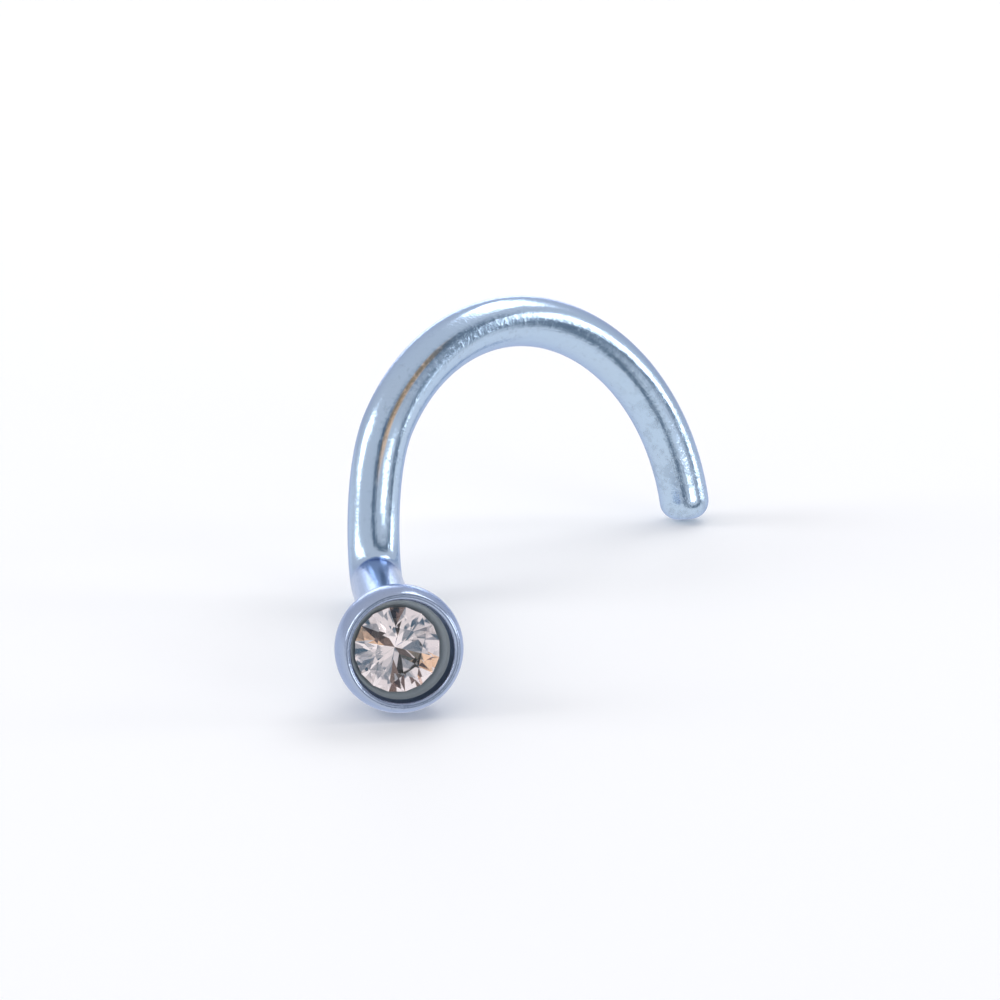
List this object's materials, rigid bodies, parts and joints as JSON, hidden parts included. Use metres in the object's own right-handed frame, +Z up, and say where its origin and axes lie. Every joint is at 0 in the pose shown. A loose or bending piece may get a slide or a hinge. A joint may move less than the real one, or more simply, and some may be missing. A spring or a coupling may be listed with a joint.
{
  "type": "nose stud",
  "caption": "Nose screw stud: a ball-shaped cup with a recessed round clear stone, on a wire post that bends into an open hoop.",
  "frame": {"origin": "on the ground, under the middle of the stud's bounding box, as it rests by itself", "axes": "+Z up; the stone faces -Y and slightly up; the post runs along Y, and the hoop opens towards +X and +Y"},
  "size_m": [0.0082, 0.0128, 0.0051],
  "materials": {
    "anodised_metal": "pale blue anodised titanium, polished, with fine draw lines and small scuffs",
    "stone": "clear round brilliant-cut crystal"
  },
  "bodies": {
    "root": {"nose_screw": "anodised_metal", "stone": "stone"}
  },
  "joints": []
}
